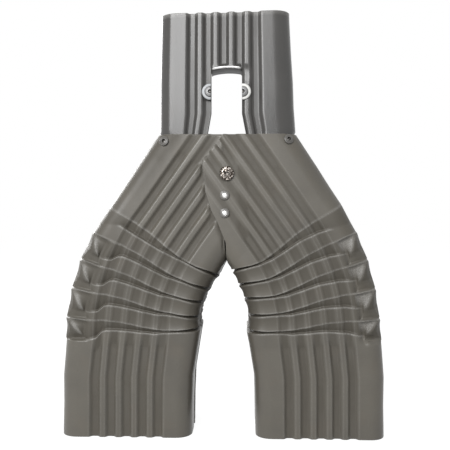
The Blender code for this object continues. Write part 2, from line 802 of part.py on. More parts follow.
def build():
    for old in list(bpy.data.objects):
        bpy.data.objects.remove(old, do_unlink=True)

    inlet = make_inlet()
    left = make_elbow("left_elbow", left_upper_rings, LEFT_SHAPE)
    right = make_elbow("right_elbow", right_upper_rings, RIGHT_SHAPE)

    hole = RIVET_SHANK_RADIUS + SEAT_GAP
    lap_grip = LAP_RISE + LAP_RECESS + SHEET
    elbow_cutters = []
    for facing, prefix in ((-1.0, ""), (1.0, "back_")):
        axis = Vector((0.0, facing, 0.0))
        wall = facing * (ELBOW_DEPTH / 2 + LAP_RISE)
        spots = [("lap_rivet_upper", LAP_RIVET_HEIGHTS[0]), ("lap_rivet_lower", LAP_RIVET_HEIGHTS[1])]
        if facing > 0.0:
            spots.append(("lap_rivet_top", SCREW_HEIGHT))
        for label, height in spots:
            place = Vector((LAP_RIVET_X, wall, height))
            rivet(prefix + label, place, axis, lap_grip, PAINT, BRIGHT, 0.1 * MM)
            elbow_cutters.append(cutter("cut_" + prefix + label, hole, 6.0 * MM, place, axis))
    screw_seat = Vector((SCREW_X, -(ELBOW_DEPTH / 2 + LAP_RISE), SCREW_HEIGHT))
    make_screw(PLATED, screw_seat)
    elbow_cutters.append(cutter("cut_screw", SCREW_SHANK_RADIUS + SEAT_GAP, 6.0 * MM, screw_seat,
                                Vector((0.0, -1.0, 0.0))))
    drill(left, elbow_cutters)
    drill(right, elbow_cutters)

    inlet_cutters = []
    sides = ((-1.0, "left", LEFT_SHAPE, SHOULDER_LEFT, left),
             (1.0, "right", RIGHT_SHAPE, SHOULDER_RIGHT, right))
    for side, label, shape, spot, elbow in sides:
        for back, prefix in ((False, ""), (True, "back_")):
            place, axis = shoulder_seat(shape, spot, back)
            name = prefix + "shoulder_rivet_" + label
            rivet(name, place, axis, 5.5 * MM, PAINT, STEEL, 0.8 * MM)
            tool = cutter("cut_" + name, hole, 9.0 * MM, place, axis)
            inlet_cutters.append(tool)
            drill(elbow, [tool])

        edge = WINDOW_CENTRE + side * WINDOW_WIDTH / 2
        place = Vector((edge + side * WINDOW_RIVET_OFFSET, -INLET_DEPTH / 2, WINDOW_RIVET_HEIGHT))
        front = Vector((0.0, -1.0, 0.0))
        over_washer = place + front * (WASHER_THICKNESS + SEAT_GAP)
        name = "window_rivet_" + label
        rivet(name, over_washer, front, WASHER_THICKNESS + GROOVE_DEPTH + SHEET, BRIGHT, STEEL,
              0.5 * MM)
        washer = [(WASHER_BORE, SEAT_GAP), (WASHER_RADIUS, SEAT_GAP),
                  (WASHER_RADIUS, SEAT_GAP + WASHER_THICKNESS * 0.6),
                  (WASHER_RADIUS - 0.3 * MM, SEAT_GAP + WASHER_THICKNESS),
                  (WASHER_BORE, SEAT_GAP + WASHER_THICKNESS)]
        turned("window_washer_" + label, washer, SCREW_SIDES, BRIGHT, place, front,
               hollow=True)
        flush = trim("trim_" + label, edge, side)
        for trimmed in ("window_washer_" + label, name, name + "_stem"):
            drill(bpy.data.objects[trimmed], [flush])
        inlet_cutters.append(cutter("cut_" + name, hole, 6.0 * MM, place, front))
    drill(inlet, inlet_cutters)

    for made in bpy.data.objects:
        made.location.x += CENTRE_SHIFT


build()
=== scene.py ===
import math

import bmesh
import bpy
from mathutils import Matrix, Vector

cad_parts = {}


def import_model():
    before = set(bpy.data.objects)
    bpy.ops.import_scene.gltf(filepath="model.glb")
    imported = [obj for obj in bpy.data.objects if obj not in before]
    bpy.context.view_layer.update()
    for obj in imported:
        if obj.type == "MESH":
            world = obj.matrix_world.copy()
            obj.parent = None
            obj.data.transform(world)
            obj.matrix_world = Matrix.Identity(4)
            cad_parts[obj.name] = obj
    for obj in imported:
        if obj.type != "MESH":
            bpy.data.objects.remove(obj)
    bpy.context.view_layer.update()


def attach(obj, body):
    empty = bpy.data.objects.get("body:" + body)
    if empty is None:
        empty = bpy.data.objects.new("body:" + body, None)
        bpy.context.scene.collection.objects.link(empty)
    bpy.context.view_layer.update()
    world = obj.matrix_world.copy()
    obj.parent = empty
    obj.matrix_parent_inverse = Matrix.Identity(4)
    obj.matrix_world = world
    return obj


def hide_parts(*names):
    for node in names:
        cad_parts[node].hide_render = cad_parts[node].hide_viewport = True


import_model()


# Painted aluminium sheet. The coil is coated before it is rolled into pipe: a warm dark grey
# enamel with a satin face and a faint orange peel. Its colour is lightened along the sharpest
# folds as a painted highlight, and darkened in the grooves and recesses as painted shade.
class Sock:
    """A shader socket that adds its Math nodes when it is used in an expression."""

    def __init__(self, tree, socket):
        self.tree = tree
        self.socket = socket

    def node(self, kind, settings=None, output=0, **values):
        """Add a node: its settings first, then the values or links of its sockets."""
        made = self.tree.nodes.new(kind)
        for key, value in (settings or {}).items():
            setattr(made, key, value)
        for key, value in values.items():
            slot = made.inputs[int(key[1:]) if key[1:].isdigit() else key.replace("_", " ")]
            if isinstance(value, Sock):
                self.tree.links.new(value.socket, slot)
            else:
                slot.default_value = value
        return Sock(self.tree, made.outputs[output])

    def math(self, operation, first, second):
        return self.node("ShaderNodeMath", {"operation": operation}, i0=first, i1=second)

    def __add__(self, other):
        return self.math("ADD", self, other)

    def __radd__(self, other):
        return self.math("ADD", other, self)

    def __sub__(self, other):
        return self.math("SUBTRACT", self, other)

    def __rsub__(self, other):
        return self.math("SUBTRACT", other, self)

    def __mul__(self, other):
        return self.math("MULTIPLY", self, other)

    def __rmul__(self, other):
        return self.math("MULTIPLY", other, self)

    def clamped(self):
        return self.node("ShaderNodeClamp", i0=self)

    def mix(self, first, second):
        """Mix two colours by this value."""
        return self.node("ShaderNodeMix", {"data_type": "RGBA"}, 2, i0=self, i6=first, i7=second)

    def feed(self, shader, name):
        self.tree.links.new(self.socket, shader.inputs[name])


def new_material(name):
    """A Principled material, and a way in to its node tree at the object's coordinates."""
    made = bpy.data.materials.new(name)
    made.use_nodes = True
    tree = made.node_tree
    place = Sock(tree, tree.nodes.new("ShaderNodeTexCoord").outputs["Object"])
    return made, tree.nodes["Principled BSDF"], place


def painted(name, colour, roughness, seed, gloss=0.55):
    """Satin enamel, with painted highlight, painted shade and bare metal where the points are
    marked with them.
    """
    made, shader, place = new_material(name)
    four = {"noise_dimensions": "4D"}
    cloud = place.node("ShaderNodeTexNoise", four, Vector=place, W=seed, Scale=26.0, Detail=5.0,
                       Roughness=0.6)
    tint = place.node("ShaderNodeTexNoise", four, Vector=place, W=seed + 9.0, Scale=60.0,
                      Detail=3.0)
    grain = place.node("ShaderNodeTexNoise", four, Vector=place, W=seed, Scale=1500.0, Detail=3.0)
    peel = place.node("ShaderNodeTexNoise", four, Vector=place, W=seed + 4.0, Scale=420.0,
                      Detail=1.0)
    run = place.node("ShaderNodeMapping", Vector=place, Scale=(300.0, 300.0, 8.0))
    streak = place.node("ShaderNodeTexNoise", Vector=run, Scale=1.0, Detail=3.0)
    rub = place.node("ShaderNodeMapping", Vector=place, Rotation=(0.4, 0.9, 0.3),
                     Scale=(1700.0, 1700.0, 40.0))
    scratch = place.node("ShaderNodeTexNoise", Vector=rub, Scale=1.0, Detail=2.0)
    scratch = ((scratch - 0.70) * 14.0).clamped() * ((tint - 0.45) * 5.0).clamped()
    painted_highlight = place.node("ShaderNodeAttribute", {"attribute_name": "painted_highlight"}, 2)
    painted_shade = place.node("ShaderNodeAttribute", {"attribute_name": "painted_shade"}, 2)
    bare = place.node("ShaderNodeAttribute", {"attribute_name": "bare"}, 2)

    red, green, blue = colour
    base = ((cloud - 0.32) * 2.2 + (grain - 0.5) * 0.6).clamped().mix(
        (red * 0.86, green * 0.86, blue * 0.87, 1.0), (red * 1.14, green * 1.14, blue * 1.13, 1.0))
    base = (((tint - 0.52) * 4.0).clamped() * 0.35).mix(
        base, (red * 1.08, green * 0.98, blue * 0.90, 1.0))
    # Painted shade: darker, towards half the colour, in the grooves, folds and recesses marked for
    # it.
    shade_amount = (painted_shade * ((cloud - 0.05) * 2.2)).clamped() * 0.8
    base = shade_amount.mix(base, (red * 0.50, green * 0.48, blue * 0.45, 1.0))
    # Painted highlight: lighter grey along the folds, crests and ridges marked for it; the scratches
    # mixed in are real.
    edge = (painted_highlight * ((grain - 0.2) * 2.0 + (tint - 0.5))).clamped() * 0.6
    base = (edge + scratch * 0.16).clamped().mix(base, (0.40, 0.39, 0.37, 1.0))
    cracked = (bare * 1.6 + (grain - 0.5) * 0.8 - 0.3).clamped()
    cracked.mix(base, (0.92, 0.92, 0.91, 1.0)).feed(shader, "Base Color")
    cracked.feed(shader, "Metallic")
    (roughness + (cloud - 0.5) * 0.16 + (streak - 0.5) * 0.12 + shade_amount * 0.3
     - edge * 0.15).feed(shader, "Roughness")
    shader.inputs["Specular IOR Level"].default_value = gloss
    relief = grain * 0.35 + peel * 0.5 + streak * 0.3 - scratch * 0.4
    place.node("ShaderNodeBump", Strength=0.11, Distance=0.0002, Height=relief).feed(
        shader, "Normal")
    return made


# The elbows: one stamped shape of corrugated pipe with a fan of pleats, each with a crisp fold, a
# panel that dips behind the next crest and a pinched outer corner. The right one is the same shape
# turned round; its wide faces lap over the left one's, flattened round the screw and rivets.
MM = 0.001
ELBOW_WIDTH = 82.5 * MM
ELBOW_DEPTH = 61.0 * MM
CORNER_RADIUS = 10.0 * MM
HALF = ELBOW_WIDTH / 2
GROOVE_DEPTH = 2.0 * MM
SHEET = 0.5 * MM
GAP = 0.3 * MM
ELBOW_TOP = 193.5 * MM
SLOPE = math.radians(35.5)
BEND_RADIUS = 115.0 * MM
PIVOT_X = 56.0 * MM
PIVOT_Z = 64.0 * MM
TOP_FOLD = 32.7
PLEAT = 7.1
CENTRE_SHIFT = 1.0 * MM
GROOVE_CENTRES = {"wide": (-20.0, -10.0, 0.0, 10.0, 20.0), "narrow": (-5.0, 5.0)}


def clamp(value):
    return max(0.0, min(1.0, value))


def smooth(value):
    t = clamp(value)
    return t * t * (3.0 - 2.0 * t)


def along(knots, value):
    """Value of a line through (place, value) knots, level beyond its ends."""
    if value <= knots[0][0]:
        return knots[0][1]
    for (x0, y0), (x1, y1) in zip(knots, knots[1:]):
        if value <= x1:
            return y0 + (y1 - y0) * (value - x0) / (x1 - x0)
    return knots[-1][1]


class Spot:
    """A point of the pipe's outline: place, outward normal, groove dip and nearness to an edge."""

    def __init__(self, across, through, angle, dip, ridge):
        self.across, self.through, self.angle = across, through, angle
        self.out_across, self.out_through = math.cos(angle), math.sin(angle)
        self.dip, self.ridge = dip, ridge

    def moved(self, height):
        return self.across + self.out_across * height, self.through + self.out_through * height


def groove(place, centres):
    """Groove dip from 0 to 1, with its walls eased, and 1 at the groove's upper edges."""
    dip = ridge = 0.0
    for centre in centres:
        aside = abs(place / MM - centre)
        dip = max(dip, smooth((3.85 - aside) / 2.5))
        ridge = max(ridge, smooth(1.0 - abs(aside - 3.9) / 0.7))
    return dip, ridge


def outline(width, depth, front_stops, back_stops):
    """Closed outline, counter-clockwise from above, with points close together at the grooves."""
    spots = []
    for index in range(4):
        wide = index % 2 == 0
        flat = (width if wide else depth) - 2 * CORNER_RADIUS
        reach = (depth if wide else width) / 2
        centres = GROOVE_CENTRES["wide" if wide else "narrow"]
        places = {-flat / 2, flat / 2}
        for centre in centres:
            for aside in (0.0, 0.9, 1.45, 2.1, 2.8, 3.4, 3.9, 4.5):
                places.add((centre + aside) * MM)
                places.add((centre - aside) * MM)
        if index == 0:
            places.update(front_stops)
        if index == 2:
            places.update(-stop for stop in back_stops)
        for k in range(1, 6):
            places.add(-flat / 2 + k * 1.3 * MM)
            places.add(flat / 2 - k * 1.3 * MM)
        ordered = []
        for place in sorted(places):
            if abs(place) <= flat / 2 + 1e-7 and (not ordered or place - ordered[-1] > 0.12 * MM):
                ordered.append(place)
        turn = (index - 1) * math.pi / 2
        out = Vector((math.cos(turn), math.sin(turn)))
        side = Vector((-out.y, out.x))
        for place in ordered:
            spot = out * reach + side * place
            dip, ridge = groove(place, centres)
            spots.append(Spot(spot.x, spot.y, turn, dip, ridge))
        corner = out * (reach - CORNER_RADIUS) + side * flat / 2
        for step in range(1, 8):
            angle = turn + step * math.pi / 16
            spot = corner + Vector((math.cos(angle), math.sin(angle))) * CORNER_RADIUS
            spots.append(Spot(spot.x, spot.y, angle, 0.0, 0.0))
    return spots


def bend_place(across, through, angle):
    reach = BEND_RADIUS - across
    return Vector((PIVOT_X - reach * math.cos(angle), through,
                   PIVOT_Z + reach * math.sin(angle)))


def upper_place(across, through, run):
    return bend_place(across, through, SLOPE) + Vector((math.sin(SLOPE), 0.0,
                                                        math.cos(SLOPE))) * run


def run_to_height(across, height):
    return (height - upper_place(across, 0.0, 0.0).z) / math.cos(SLOPE)


def run_to_mitre(across, aside, lean):
    start = upper_place(across, 0.0, 0.0)
    x = aside + lean * (ELBOW_TOP - start.z)
    return (x - start.x) / (math.sin(SLOPE) + lean * math.cos(SLOPE))


AT_AXIS = upper_place(0.0, 0.0, run_to_mitre(0.0, 0.0, 0.0)).z
MITRE = (ELBOW_TOP - AT_AXIS) / (upper_place(MM, 0.0, run_to_mitre(MM, 0.0, 0.0)).z - AT_AXIS) * MM
CROTCH = upper_place(HALF, 0.0, run_to_mitre(HALF, 0.0, 0.0)).z
LAP_EDGE = ((CROTCH / MM, 0.0), (126.0, 0.6), (136.0, 4.0), (143.0, 8.1), (157.0, 12.1),
            (170.0, 13.6), (177.0, 13.9), (ELBOW_TOP / MM, 0.0))

FOLD_LINE = ((-0.92, 0.1), (-0.45, 0.3), (-0.14, 0.1), (0.24, -1.1), (0.5, -1.7), (0.7, -1.0),
             (1.0, 1.4))
HOOKED_CREST = ((-0.65, -5.1), (-0.53, -4.6), (-0.45, -2.9), (-0.38, -2.4), (-0.14, -2.4),
                (0.36, -3.1), (0.56, -2.6), (0.7, -1.9), (1.0, -0.6))
FIRST_CREST = ((-0.95, -4.8), (-0.65, -2.5), (0.05, -2.8), (0.36, -2.4), (0.7, -1.7), (1.0, -0.6))
PLAIN_CREST = ((-0.9, -4.6), (-0.46, -2.9), (-0.14, -2.4), (0.36, -3.1), (0.56, -2.6),
               (0.7, -1.9), (1.0, -0.6))
INNER_PUSH = ((3.0, 0.3), (20.0, 0.5), (38.0, 1.1), (48.0, 1.7), (62.0, 2.5), (66.0, 2.2),
              (72.0, 0.4), (84.0, 0.0))
LEFT = {
    "lean": 0.018,
    "turn": (-0.3, -1.4, -1.6, -2.0, -1.0),
    "outer": ((3.0, 1.7), (31.0, 1.1), (47.0, 2.0), (62.0, 2.8), (79.0, 2.4), (95.0, 1.7),
              (118.0, 0.6), (126.0, -0.3), (134.0, -0.4), (141.0, -1.4), (149.0, -1.9),
              (172.0, -1.2), (193.0, -0.7)),
    "bow": ((72.0, 0.0), (80.0, 0.3), (88.0, 1.4), (96.0, 2.0), (104.0, 3.0), (112.0, 1.8),
            (125.0, 1.4)),
    "tuck": ((26.0, 2.7), (50.0, 1.6), (66.0, 1.6), (80.0, 0.0)),
}
RIGHT = {
    "lean": -0.018,
    "turn": (1.2, 0.6, 0.3, -1.0, -1.8),
    "outer": ((3.0, -0.4), (31.0, -0.8), (47.0, 0.3), (62.0, 1.0), (76.0, 0.0), (141.0, -0.1),
              (149.0, 0.3), (157.0, 0.7), (173.0, 1.9), (193.0, 2.9)),
    "bow": ((98.0, 0.0), (108.0, -2.2), (125.0, -2.2)),
    "tuck": ((26.0, 0.0), (80.0, 0.0)),
}


def pushed(shape, across, through, z):
    """Across value after hand crimping pushed the sides about, by height."""
    share = across / HALF
    if share < 0.0:
        return across - along(shape["outer"], z / MM) * MM * share * share
    tucked = along(shape["tuck"], z / MM) * smooth(through / (ELBOW_DEPTH / 2))
    return across + (along(INNER_PUSH, z / MM) - tucked) * MM * share * share


def bowed(shape, spot, z):
    wall = clamp((spot.out_across - 0.4) / 0.5)
    level = 1.0 - (spot.through / (ELBOW_DEPTH / 2)) ** 2
    return along(shape["bow"], z / MM) * MM * wall * level


# The pinched corner, by share of the way between two folds: the valley, ridge and kink round the
# corner, as millimetres inwards and behind, and how far behind the narrow side begins.
KITE = (
    (0.03, (12.7, 1.4), (0.6, 4.0), (0.4, 4.8), 5.8),
    (0.10, (12.5, 2.1), (1.9, 2.9), (1.3, 4.1), 6.5),
    (0.23, (12.1, 2.7), (4.0, 1.7), (2.2, 3.7), 8.2),
    (0.36, (11.7, 3.0), (5.9, 1.0), (3.0, 3.2), 9.2),
    (0.49, (11.3, 3.1), (7.8, 0.6), (4.2, 2.2), 9.6),
    (0.56, (11.0, 3.2), (9.0, 0.9), (4.2, 2.5), 9.2),
    (0.63, (10.9, 3.3), (10.2, 1.7), (3.6, 3.2), 8.6),
    (0.75, (11.2, 3.4), (10.5, 2.9), (2.6, 4.6), 8.0),
    (0.87, (11.8, 3.5), (11.0, 3.2), (1.6, 5.8), 7.6),
    (0.96, (12.4, 3.6), (11.5, 3.4), (0.9, 6.6), 7.4),
)


def on_face(spot):
    return abs(spot.out_through) > 0.99


PINCH_START = 26.0
CORNER_START = 5.25
CORNER_END = 20.95
PINCH_END = 27.45


def pinch(spot, share):
    """How the outer corner moves between two folds. A ridge leaves the upper fold at the pipe's
    outer side, runs inwards to the next crest and parts the corner into flat facets. Travel is
    how far round the outline a point lies, in millimetres over the flat, corner and narrow side."""
    if spot.out_across < -0.999:
        travel = CORNER_END + (20.5 - abs(spot.through) / MM)
    elif on_face(spot):
        travel = -spot.across / MM - PINCH_START
    else:
        turned = math.asin(clamp(-spot.out_across)) / (math.pi / 2)
        travel = CORNER_START + (CORNER_END - CORNER_START) * turned
    if (spot.across > -(PINCH_START + 0.1) * MM or not 0.05 < travel < PINCH_END - 0.05
            or not 0.0 < share < 1.0):
        return 0.0, 0.0
    strength = smooth(share / 0.05) * smooth((1.0 - share) / 0.035)
    for before, after in zip(KITE, KITE[1:]):
        if share <= after[0]:
            break
    t = clamp((share - before[0]) / (after[0] - before[0]))
    valley, ridge, kink = [(a[0] + (b[0] - a[0]) * t, a[1] + (b[1] - a[1]) * t)
                           for a, b in zip(before[1:4], after[1:4])]
    side = before[4] + (after[4] - before[4]) * t
    knots = ((0.05, (15.2, 0.0)), (2.65, valley), (11.14, ridge), (15.07, kink),
             (CORNER_END, (0.0, side)), (PINCH_END, (0.0, 16.5)))
    inwards = along([(place, point[0]) for place, point in knots], travel)
    behind = along([(place, point[1]) for place, point in knots], travel)
    facing = -1.0 if spot.through < 0.0 else 1.0
    across = -HALF + inwards * MM - spot.across
    through = facing * (ELBOW_DEPTH / 2 - behind * MM) - spot.through
    return across * strength, through * strength


def fold_row(shape, spots, index, kind):
    """One ring of a pleat: its fold edge, the valley behind the next crest, or that crest."""
    row = []
    for spot in spots:
        share = spot.across / HALF
        strength = smooth((spot.across + HALF - 14.0 * MM) / (6.5 * MM))
        near_outer = smooth((-14.0 * MM - spot.across) / (4.0 * MM))
        plain = smooth(0.5 + spot.through / ELBOW_DEPTH)
        hooked = HOOKED_CREST if index else FIRST_CREST
        crest = along(hooked, share) * (1.0 - plain) + along(PLAIN_CREST, share) * plain
        if kind == "fold":
            turn, height, grooves = along(FOLD_LINE, share), 0.3 * MM, 0.35 if index else 0.9
        elif kind == "valley":
            inside = smooth((spot.across - 22.0 * MM) / (12.0 * MM))
            turn, height, grooves = crest + 0.6, (-1.9 * strength - 1.8 * inside) * MM, 0.1
        else:
            turn, height, grooves = crest, 0.7 * MM * strength, 0.3
        grooves += max(0.0, 0.5 - grooves) * near_outer
        inner = shape["turn"][index] * smooth((share - 0.5) / 0.5)
        angle = math.radians(TOP_FOLD - 0.1 - PLEAT * index + turn + inner)
        level = bend_place(spot.across, 0.0, angle).z
        height += bowed(shape, spot, level) - spot.dip * GROOVE_DEPTH * grooves
        across, through = spot.moved(height)
        row.append(bend_place(pushed(shape, across, spot.through, level), through, angle))
    return row


def pinched(spot, place):
    """A point of the pleats, moved with its outer corner. The fold above it sets its share. It also
    gives a painted highlight: a light streak along the pinched corner's ridge.
    """
    angle = math.atan2(place.z - PIVOT_Z, PIVOT_X - place.x)
    share = (TOP_FOLD - math.degrees(angle)) / PLEAT
    if share < 1.0 or share > 5.0:
        return place, 0.0
    share = (share - 4.0) / 0.74 if share > 4.0 else share % 1.0
    across, through = pinch(spot, share)
    rub = 0.0
    if spot.across < -27.0 * MM and spot.out_across > -0.8:
        turn = math.degrees(math.asin(clamp(-spot.out_across)))
        if spot.through < 0.0:
            aside = abs(turn - 31.0) / (8.0 + 16.0 * share * (1.0 - share))
            rub = 1.7 * along(((0.02, 0.2), (0.3, 0.8), (0.55, 1.0), (0.64, 0.7), (0.68, 0.0)), share)
        else:
            aside = abs(turn - 5.0 - 30.0 * share) / (30.0 * (1.0 - share))
            rub = 1.1 * along(((0.0, 0.2), (0.1, 1.0), (0.5, 0.8), (0.66, 0.0)), share)
        rub *= smooth(1.4 - aside)
    return place + Vector((across * math.cos(angle), through, -across * math.sin(angle))), rub


def leg_row(shape, spots, crest_row, drop, height, ease):
    """One ring of the straight leg, at a height or a drop below the last crest."""
    row = []
    for spot, crest in zip(spots, crest_row):
        across, through = spot.moved(-spot.dip * GROOVE_DEPTH)
        z = crest.z - drop if height is None else height
        x = PIVOT_X - BEND_RADIUS + pushed(shape, across, spot.through, z) - ease
        row.append(Vector((x, through, z)))
    return row


def upper_row(shape, spots, run_at, rise_at, grooves_at):
    """One ring of the slanted upper part, whose run, rise and groove depth vary round it."""
    row = []
    for spot in spots:
        run = run_at(spot)
        level = upper_place(spot.across, 0.0, run).z
        height = rise_at(spot) - spot.dip * GROOVE_DEPTH * grooves_at(spot)
        across, through = spot.moved(height + bowed(shape, spot, level))
        row.append(upper_place(pushed(shape, across, spot.through, level), through, run))
    return row


def lap_edge_run(across, shape):
    """How far up the upper part the lap's edge crosses a line along the pipe."""
    over = shape["lean"] < 0.0
    low, high = 0.0, run_to_mitre(across, 20.0 * MM if over else 0.0, shape["lean"])
    for _ in range(30):
        middle = (low + high) / 2
        spot = upper_place(across, 0.0, middle)
        aside = spot.x - shape["lean"] * (ELBOW_TOP - spot.z)
        inside = along(LAP_EDGE, spot.z / MM) * MM
        if aside > (inside if over else -inside):
            high = middle
        else:
            low = middle
    return (low + high) / 2


def end_run(shape, spot, overhang):
    """How far up the upper part a line along the pipe ends: at the top edge or the mitre."""
    if spot.across <= MITRE:
        return run_to_height(pushed(shape, spot.across, 0.0, ELBOW_TOP), ELBOW_TOP)
    return run_to_mitre(spot.across, overhang, shape["lean"])


def left_upper(spots):
    """Rings from the left elbow's end, sunk under the lap, down to the first pleat."""
    def covered(spot):
        faces = clamp((abs(spot.out_through) - 0.7) / 0.3)
        return smooth((spot.across - MITRE + 4.5 * MM) / (3.0 * MM)) * faces

    def under(spot):
        if not on_face(spot):
            return -GAP
        start = smooth((spot.across - 8.0 * MM) / (4.0 * MM))
        end = smooth((HALF - 18.0 * MM - spot.across) / (8.0 * MM))
        return -GAP + (7.0 * MM + GAP) * start * end

    edge_runs = {}

    def inside(spot):
        key = round(max(spot.across, MITRE), 6)
        if key not in edge_runs:
            edge_runs[key] = lap_edge_run(key, LEFT)
        return min(edge_runs[key] - 0.12 * MM, end_run(LEFT, spot, under(spot)) * 0.93)

    def outside(spot):
        run = inside(spot)
        if run > 9.0 * MM:
            return min(run - 3.0 * MM, end_run(LEFT, spot, under(spot)) * 0.86)
        return run * 0.6

    def sunk(spot):
        return -1.6 * MM * covered(spot)

    def quiet(spot):
        return (1.0 - covered(spot)) * 0.75

    return [
        upper_row(LEFT, spots, lambda s: end_run(LEFT, s, under(s)), sunk, quiet),
        upper_row(LEFT, spots, inside, sunk, quiet),
        upper_row(LEFT, spots, outside, lambda s: 0.0, lambda s: 1.0),
        upper_row(LEFT, spots, lambda s: min(6.0 * MM, outside(s) * 0.5), lambda s: 0.0,
                  lambda s: 1.0),
    ]


def right_upper(spots):
    """Rings from the right elbow's end, over the lap and its flat pad, to the first pleat."""
    def lapped(spot):
        return 1.0 if on_face(spot) and spot.across > MITRE else 0.0

    edge_runs = {}

    def end(spot):
        if spot.across <= MITRE or not on_face(spot):
            return end_run(RIGHT, spot, -GAP)
        key = round(spot.across, 6)
        if key not in edge_runs:
            edge_runs[key] = lap_edge_run(key, RIGHT)
        return edge_runs[key]

    def before(spot, reach, share):
        limit = end_run(RIGHT, spot, -GAP)
        return limit - min(reach / math.sin(SLOPE), limit * share)

    def grooves_for(run_of):
        def grooves(spot):
            depth = 1.0 if lapped(spot) else 0.75
            level = upper_place(spot.across, 0.0, run_of(spot)).z
            flat = smooth((181.0 * MM - level) / (7.0 * MM)) * lapped(spot)
            return depth + (0.1 - depth) * flat
        return grooves

    def rise(spot):
        return GAP * lapped(spot) * smooth((29.0 * MM - spot.across) / (10.0 * MM))

    def worn_shallow(spot):
        return 0.62 + 0.38 * smooth((spot.across + 6.0 * MM) / (16.0 * MM))

    def at_centre(spot):
        return before(spot, 0.8 * MM, 0.1)

    def in_pad(spot):
        return before(spot, 8.5 * MM, 0.4)

    def past_pad(spot):
        return before(spot, 15.0 * MM, 0.7)

    return [
        upper_row(RIGHT, spots, end, rise, grooves_for(end)),
        upper_row(RIGHT, spots, at_centre, rise, grooves_for(at_centre)),
        upper_row(RIGHT, spots, in_pad, lambda s: 0.0, grooves_for(in_pad)),
        upper_row(RIGHT, spots, past_pad, lambda s: 0.0, worn_shallow),
        upper_row(RIGHT, spots, lambda s: min(6.0 * MM, past_pad(s) * 0.5), lambda s: 0.0,
                  worn_shallow),
    ]


def fine_rows(rows, marks, spots, first, last):
    """Rows in between the given ones. A mark holds the steps of its span, how far it swells on
    the inner side, and the painted highlight and painted shade at its two ends."""
    fine, highlight, painted_shade, hooks, corner_highlight = [], [], [], [], []
    for index, (steps, swell, crease_highlight, shade_amount) in enumerate(marks):
        row, after = rows[index], rows[index + 1]
        pleated = first <= index <= last
        for t in steps:
            line = []
            for j, (start, end) in enumerate(zip(row, after)):
                spot = start.lerp(end, t)
                out = (end - start).cross(row[(j + 1) % len(row)] - row[j - 1])
                if swell and out.length > 1e-12:
                    side = smooth((spots[j].across + 12.0 * MM) / (30.0 * MM))
                    spot = spot - out.normalized() * swell * side * 4.0 * t * (1.0 - t)
                spot, rub = pinched(spots[j], spot) if pleated else (spot, 0.0)
                line.append(spot)
                corner_highlight.append(rub)
            fine.append(line)
            highlight.append(crease_highlight[0] * max(0.0, 1.0 - t * 9.0) + crease_highlight[1] * max(0.0, t * 9.0 - 8.0))
            painted_shade.append(shade_amount[0] * (1.0 - t) + shade_amount[1] * t)
            step = (index - first) % 3 if pleated else 0
            hooks.append(step == 1 or step == 2 and t < 0.5)
    fine.append(rows[-1])
    highlight.append(1.0)
    painted_shade.append(0.0)
    hooks.append(False)
    return fine, highlight, painted_shade, hooks, corner_highlight + [0.0] * len(spots)


def painted_light_marks(spots, dull, fine, highlight, painted_shade, hooks, corner_highlight):
    """Painted highlight and painted shade of each point: lighter crests, folds and pinched corners'
    ridges; darker grooves, folds and inner side; and, as strong as dull, a darker outer flat below
    the shoulder."""
    painted_highlight, shade_values = [], []
    for line, row_highlight, row_shade, hook in zip(fine, highlight, painted_shade, hooks):
        for spot, place in zip(spots, line):
            outer = smooth((-22.0 * MM - spot.across) / (9.0 * MM))
            outer_shade = outer * smooth((place.z - 135.0 * MM) / (45.0 * MM)) * dull
            inside = smooth((spot.across + 29.0 * MM) / (2.5 * MM)) if hook else 1.0
            hidden = smooth((spot.out_across - 0.2) / 0.5)
            crease_highlight = row_highlight * inside * (1.0 - 0.9 * hidden)
            shade_amount = row_shade * (1.0 + 2.0 * hidden) + 0.85 * spot.dip ** 3 + outer_shade
            painted_highlight.append(min(1.7, crease_highlight + 0.3 * spot.ridge + corner_highlight[len(painted_highlight)]))
            shade_values.append(min(1.6, shade_amount))
    return {"painted_highlight": painted_highlight, "painted_shade": shade_values}


def sheet_object(name, verts, faces, marks, finish):
    """A skin with its painted highlight, painted shade and bare metal marked on its points, given
    its thickness.
    """
    mesh = bpy.data.meshes.new(name)
    mesh.from_pydata([spot + Vector((CENTRE_SHIFT, 0.0, 0.0)) for spot in verts], [], faces)
    for label, values in marks.items():
        mesh.attributes.new(label, "FLOAT", "POINT").data.foreach_set("value", values)
    mesh.materials.append(finish)
    mesh.shade_smooth()
    made = bpy.data.objects.new("shown_" + name, mesh)
    bpy.context.collection.objects.link(made)
    solid = made.modifiers.new("sheet", "SOLIDIFY")
    solid.thickness = SHEET
    solid.offset = -1.0
    solid.use_quality_normals = True
    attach(made, "root")
    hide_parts(name)
    return made


